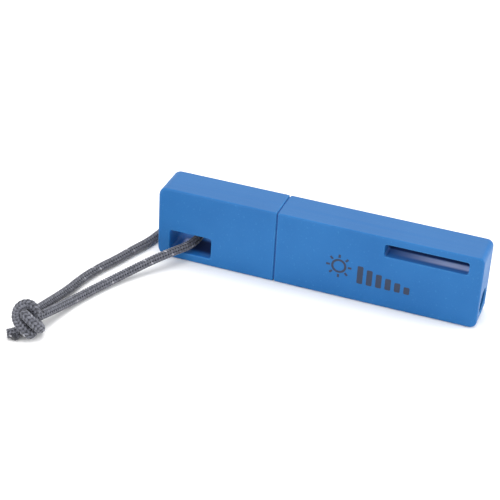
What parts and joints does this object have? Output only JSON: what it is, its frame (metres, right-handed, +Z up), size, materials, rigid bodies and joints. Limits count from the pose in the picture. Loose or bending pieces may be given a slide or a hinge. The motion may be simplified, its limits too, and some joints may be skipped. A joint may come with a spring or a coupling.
{
  "type": "keychain flashlight",
  "caption": "Slim box-shaped keychain flashlight with a pull-off tail cap, webbing slot, recessed round lamp opening, side button and braided wrist cord.",
  "frame": {"origin": "middle of the narrow long face that the body rests on, cord left out", "axes": "+X along the body from the lanyard end to the lamp end, -Y out of the plain front face, +Z up"},
  "size_m": [0.1295, 0.0832, 0.025],
  "materials": {
    "blue_shell": "satin moulded ABS",
    "seam_rubber": "dull",
    "carrier_black": "moulded nylon",
    "contact_nickel": "nickel plated strip",
    "spring_steel": "nickel plated wire",
    "screw_steel": "blackened steel",
    "board_green": "solder mask over glass fibre",
    "chip_black": "moulded epoxy",
    "lead_tin": "tinned",
    "switch_grey": "moulded",
    "button_rubber": "soft moulded",
    "led_clear": "clear epoxy",
    "reflector_chrome": "vacuum plated",
    "lens_clear": "clear polycarbonate",
    "seal_rubber": "dull",
    "cell_steel": "nickel plated can",
    "cell_wrap": "shrunk film",
    "cell_card": "insulating washer",
    "cord_braid": "round braid"
  },
  "bodies": {
    "housing": {"front_housing": "blue_shell", "carrier": "carrier_black", "carrier_screws": "screw_steel", "front_positive_contact": "contact_nickel", "front_negative_contact": "contact_nickel", "front_spring": "spring_steel", "circuit_board": "board_green", "switch_body": "switch_grey", "led_dome": "led_clear", "led_leads": "lead_tin", "reflector": "reflector_chrome", "lens": "lens_clear", "lens_seal": "seal_rubber", "driver_chip": "chip_black", "driver_chip_legs": "lead_tin", "chip_resistors": "chip_black"},
    "cap": {"tail_cap": "blue_shell", "seam_gasket": "seam_rubber", "rear_contact_holder": "carrier_black", "rear_bridge_contact": "contact_nickel", "rear_spring": "spring_steel", "holder_screws": "screw_steel", "lanyard_cord": "cord_braid", "lanyard_knot": "cord_braid", "lanyard_tails": "cord_braid"},
    "lower_cell": {"lower_cell_can": "cell_steel", "lower_cell_sleeve": "cell_wrap", "lower_cell_washer": "cell_card", "lower_cell_button": "cell_steel"},
    "upper_cell": {"upper_cell_can": "cell_steel", "upper_cell_sleeve": "cell_wrap", "upper_cell_washer": "cell_card", "upper_cell_button": "cell_steel"},
    "button": {"push_button": "button_rubber"},
    "plunger": {"switch_plunger": "chip_black"}
  },
  "joints": [
    {"name": "cap_pull", "type": "slide", "parent": "housing", "child": "cap", "axis": [-1, 0, 0], "range_m": [0, 0.075]},
    {"name": "lower_cell_slide", "type": "slide", "parent": "housing", "child": "lower_cell", "axis": [-1, 0, 0], "range_m": [0, 0.051]},
    {"name": "upper_cell_slide", "type": "slide", "parent": "housing", "child": "upper_cell", "axis": [-1, 0, 0], "range_m": [0, 0.051]},
    {"name": "button_press", "type": "slide", "parent": "housing", "child": "button", "axis": [0, -1, 0], "range_m": [0, 0.0004], "stiffness_N_per_m": 400},
    {"name": "plunger_press", "type": "slide", "parent": "housing", "child": "plunger", "axis": [0, -1, 0], "range_m": [0, 0.0004]}
  ],
  "couplings": [
    {"joint": "lower_cell_slide", "follows": "cap_pull", "ratio": 0.66},
    {"joint": "upper_cell_slide", "follows": "cap_pull", "ratio": 0.66},
    {"joint": "plunger_press", "follows": "button_press", "ratio": 1}
  ]
}
